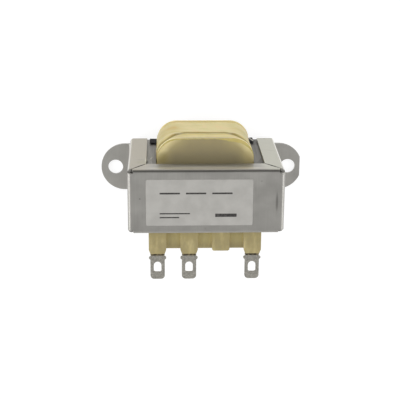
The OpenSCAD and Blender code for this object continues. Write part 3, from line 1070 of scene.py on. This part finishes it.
@dataclass
class Label(Assembly):
    """The film label on the web, with plain unlettered bars where such a label is printed.

    Each bar is its left end, its middle line, its width and its depth, from the label's middle.
    """

    half_x: float = 16.95
    half_y: float = 7.65
    corner: float = 0.5
    middle_x: float = -2.15
    middle_y: float = -0.15
    web: float = 40.7375
    film: float = 0.07
    softened: float = 0.04
    ink: float = 0.02
    ink_sunk: float = 0.01
    ink_corner: float = 0.12
    bars: tuple[tuple[float, float, float, float], ...] = (
        (-12.6, 3.1, 6.4, 0.55),
        (-4.3, 3.1, 6.4, 0.55),
        (4.0, 3.1, 6.4, 0.55),
        (-12.6, -3.6, 9.6, 0.40),
        (-12.6, -4.9, 6.2, 0.40),
        (5.0, -4.2, 6.8, 1.10),
    )

    def plate(
        self, middle: Point, half: Point, corner: float, base: float, top: float
    ) -> tuple[list[Vector], list[Face]]:
        """A thin plate with round corners and a softened upper edge.

        Args:
            middle: its middle, from the label's middle.
            half: half its width and half its depth.
            corner: corner radius.
            base: height of its underside.
            top: height of its upper side.

        Returns:
            Its points and faces.
        """
        soft = min(self.softened, (top - base) / 2)
        centre = Vector((self.middle_x + middle[0], self.middle_y + middle[1], 0))
        points: list[Vector] = []
        levels = ((0.0, base), (0.0, top - soft), (soft, top))
        for inset, z in levels:
            loop = rounded_loop(half[0] - inset, half[1] - inset, corner - inset, straight=8, turn=6)
            points += [centre + Vector((x, y, z)) for x, y in loop]
        return points, ring_faces(len(levels), len(points) // len(levels), False)

    def build(self) -> None:
        """Makes the film and its print in place of the plain CAD solid."""
        top = self.web + self.film
        points, faces = self.plate((0.0, 0.0), (self.half_x, self.half_y), self.corner, self.web, top)
        film = mesh_from("label_film", points, faces)
        self.place(film, LabelFilm("matt_label_film"), "label_stock", "label")
        points, faces = [], []
        base, top = top - self.ink_sunk, top + self.ink
        for left, middle, width, depth in self.bars:
            half = (width / 2, depth / 2)
            more, sides = self.plate((left + half[0], middle), half, self.ink_corner, base, top)
            faces += [tuple(len(points) + i for i in side) for side in sides]
            points += more
        printed = mesh_from("label_print", points, faces)
        self.place(printed, PrintedInk("thermal_transfer_ink"), "label_stock")


# ---- Studio ----


@dataclass
class Studio:
    """Camera, pale floor and soft light.

    ceiling and flag are how strong the reflected sky is overhead and at its dark flag, sky_dim and sky_bright
    how strong its light is on the lug side and on the other. paper is the floor's shade for the light that it
    throws back, glow and shadow make the white that is seen, with the object's shadow on it.
    """

    camera_mm: Triple = (-13.61, 106.83, 360.40)
    tilt: float = 0.3202
    turn: float = 0.0363
    roll: float = -0.0061
    lens_mm: float = 96.126
    sensor_mm: float = 36.0
    clip_m: Point = (0.01, 20.0)
    floor_mm: float = 3000.0
    floor_drop: float = 0.2
    aim_mm: Triple = (0.0, 0.0, 20.0)
    ceiling: float = 0.48
    flag: float = 0.04
    sky_dim: float = 0.42
    sky_bright: float = 1.40
    paper: float = 0.86
    shadow: float = 0.25
    glow: float = 0.84

    def camera(self) -> None:
        """Sets the camera."""
        data = bpy.data.cameras.new("view")
        data.lens, data.sensor_width = self.lens_mm, self.sensor_mm
        data.clip_start, data.clip_end = self.clip_m
        camera = bpy.data.objects.new("view", data)
        bpy.context.scene.collection.objects.link(camera)
        turns = ((self.roll, "Z"), (self.tilt, "X"), (self.turn, "Y"))
        roll, tilt, turn = (Matrix.Rotation(angle, 3, axis) for angle, axis in turns)
        place = Matrix.Translation(Vector(self.camera_mm) * MM)
        camera.matrix_world = place @ (roll @ tilt @ turn).transposed().to_4x4()
        bpy.context.scene.camera = camera

    def lamp(self, name: str, place: Triple, size: float, power: float) -> None:
        """Adds a soft box that faces the object.

        Args:
            name: its name.
            place: its middle, in millimetres.
            size: its side, in millimetres.
            power: its power in watts.
        """
        data = bpy.data.lights.new(name, "AREA")
        data.shape, data.size, data.energy = "SQUARE", size * MM, power
        lamp = bpy.data.objects.new(name, data)
        bpy.context.scene.collection.objects.link(lamp)
        lamp.location = Vector(place) * MM
        lamp.rotation_euler = (Vector(self.aim_mm) * MM - lamp.location).to_track_quat("-Z", "Y").to_euler()

    def seen_white(self, tree: Tree, plain: Node, white: Node) -> Socket:
        """Shows one shader to camera, glossy and transmission rays, and the plain one to the rest.

        Args:
            tree: the node tree.
            plain: shader that lights the object.
            white: shader that is seen, straight or in a reflection.

        Returns:
            The mixed shader's socket.
        """
        rays = add_node(tree, "LightPath").outputs
        seen = rays["Is Camera Ray"]
        for ray in ("Is Glossy Ray", "Is Transmission Ray"):
            seen = add_node(tree, "Math", {0: seen, 1: rays[ray]}, operation="MAXIMUM").outputs[0]
        feeds = {FACTOR: seen, 1: plain.outputs[0], 2: white.outputs[0]}
        return add_node(tree, "MixShader", feeds).outputs[0]

    def world(self) -> None:
        """Sets a sky that is brightest on the lug-free side, and in reflections has a flag there instead."""
        world = bpy.data.worlds.new("studio")
        world.use_nodes = True
        tree = world.node_tree
        tree.nodes.clear()
        direction = add_node(tree, "TexCoord").outputs["Generated"]
        parts = add_node(tree, "SeparateXYZ", {0: direction}).outputs
        overhead, flagged, light = (
            add_node(tree, "MapRange", {"Value": parts[axis]}, ends=ends).outputs[0]
            for axis, ends in (
                ("Z", (0.15, 0.95, 1.0, self.ceiling)),
                ("Y", (0.42, 0.72, 1.0, self.flag)),
                ("Y", (-0.1, 0.8, self.sky_dim, self.sky_bright)),
            )
        )
        feeds = {0: overhead, 1: flagged}
        mirrored = add_node(tree, "Math", feeds, operation="MULTIPLY").outputs[0]
        sky, lighting, white = (
            add_node(tree, "Background", {"Color": (1, 1, 1, 1), "Strength": strength})
            for strength in (mirrored, light, 1.0)
        )
        feeds = {
            FACTOR: add_node(tree, "LightPath").outputs["Is Camera Ray"],
            1: self.seen_white(tree, lighting, sky),
            2: white.outputs[0],
        }
        shown = add_node(tree, "MixShader", feeds)
        add_node(tree, "OutputWorld", {"Surface": shown.outputs[0]})
        bpy.context.scene.world = world

    def floor(self) -> None:
        """Lays a white floor that keeps the object's shadow."""
        half = self.floor_mm / 2
        square = ((-half, -half), (half, -half), (half, half), (-half, half))
        piece = mesh_from("floor", [Vector((x, y, -self.floor_drop)) for x, y in square], [(0, 1, 2, 3)])
        material = bpy.data.materials.new("seamless_white_paper")
        material.use_nodes = True
        tree = material.node_tree
        tree.nodes.clear()
        paper, shaded = (
            add_node(tree, "BsdfDiffuse", {"Color": (level, level, level, 1)})
            for level in (self.paper, self.shadow)
        )
        glow = add_node(tree, "Emission", {"Color": (1, 1, 1, 1), "Strength": self.glow})
        lit = add_node(tree, "AddShader", {0: shaded.outputs[0], 1: glow.outputs[0]})
        add_node(tree, "OutputMaterial", {"Surface": self.seen_white(tree, paper, lit)})
        piece.data.materials.append(material)

    def build(self) -> None:
        """Builds the whole studio."""
        self.camera()
        self.world()
        self.floor()
        self.lamp("left_box", (-420, -120, 260), size=260, power=0.85)
        self.lamp("right_box", (420, -120, 260), size=260, power=0.68)
        bpy.context.scene.view_settings.view_transform = "Standard"


def main() -> None:
    """Builds every sub-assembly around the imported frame."""
    logging.basicConfig(level=logging.INFO, format="%(message)s")
    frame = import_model()
    Studio().build()
    cache: Materials = {}
    for kind in (CoreAndBracket, Coil, Terminals, InsulatingStrip, Label):
        kind(frame["nodes"], cache).build()


if __name__ == "__main__":
    main()
